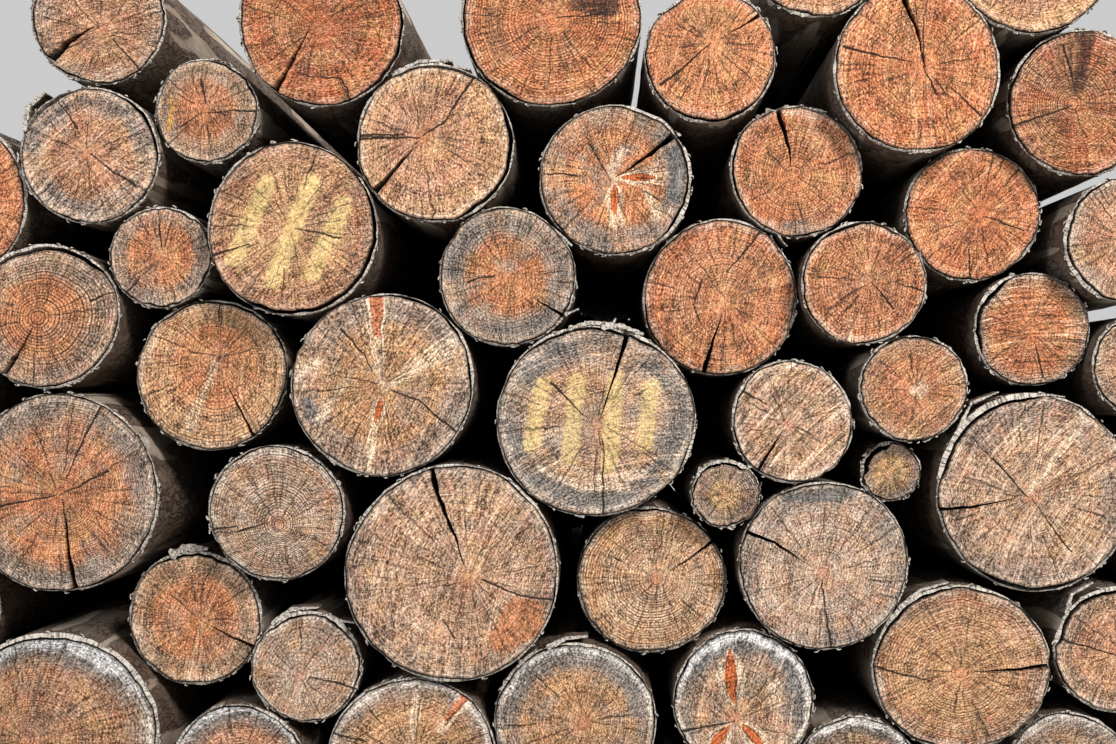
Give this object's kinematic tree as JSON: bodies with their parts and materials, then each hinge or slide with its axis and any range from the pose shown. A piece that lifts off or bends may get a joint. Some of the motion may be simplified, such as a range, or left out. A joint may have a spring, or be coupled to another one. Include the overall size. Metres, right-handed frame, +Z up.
{
  "type": "stack of logs",
  "caption": "Free-standing roadside stack of sawn softwood logs, round and tapered, nested in each other's hollows with their cracked sawn ends facing front.",
  "frame": {"origin": "centre of the stack's footprint, on the ground", "axes": "+X along the front of the stack to the right, +Y along the logs away from the sawn ends that face front, +Z up"},
  "size_m": [3.9422, 3.12, 1.9398],
  "materials": {
    "sawn_wood": "matt weathered end grain with drying cracks",
    "bark": "rough grey-brown bark"
  },
  "bodies": {
    "root": {"log_01": "sawn_wood", "log_02": "sawn_wood", "log_03": "sawn_wood", "log_04": "sawn_wood", "log_05": "sawn_wood", "log_06": "sawn_wood", "log_07": "sawn_wood", "log_08": "sawn_wood", "log_09": "sawn_wood", "log_10": "sawn_wood", "log_11": "sawn_wood", "log_12": "sawn_wood", "log_13": "sawn_wood", "log_14": "sawn_wood", "log_15": "sawn_wood", "log_16": "sawn_wood", "log_17": "sawn_wood", "log_18": "sawn_wood", "log_19": "sawn_wood", "log_20": "sawn_wood", "log_21": "sawn_wood", "log_22": "sawn_wood", "log_23": "sawn_wood", "log_24": "sawn_wood", "log_25": "sawn_wood", "log_26": "sawn_wood", "log_27": "sawn_wood", "log_28": "sawn_wood", "log_29": "sawn_wood", "log_30": "sawn_wood", "log_31": "sawn_wood", "log_32": "sawn_wood", "log_33": "sawn_wood", "log_34": "sawn_wood", "log_35": "sawn_wood", "log_36": "sawn_wood", "log_37": "sawn_wood", "log_38": "sawn_wood", "log_39": "sawn_wood", "log_40": "sawn_wood", "log_41": "sawn_wood", "log_42": "sawn_wood", "log_43": "sawn_wood", "log_44": "sawn_wood", "log_45": "sawn_wood", "log_46": "sawn_wood", "log_47": "sawn_wood", "log_48": "sawn_wood", "log_49": "sawn_wood", "log_50": "sawn_wood", "log_51": "sawn_wood", "log_52": "sawn_wood", "log_53": "sawn_wood", "log_54": "sawn_wood", "log_55": "sawn_wood", "log_56": "sawn_wood", "log_57": "sawn_wood", "log_58": "sawn_wood", "log_59": "sawn_wood", "log_60": "sawn_wood"}
  },
  "joints": []
}
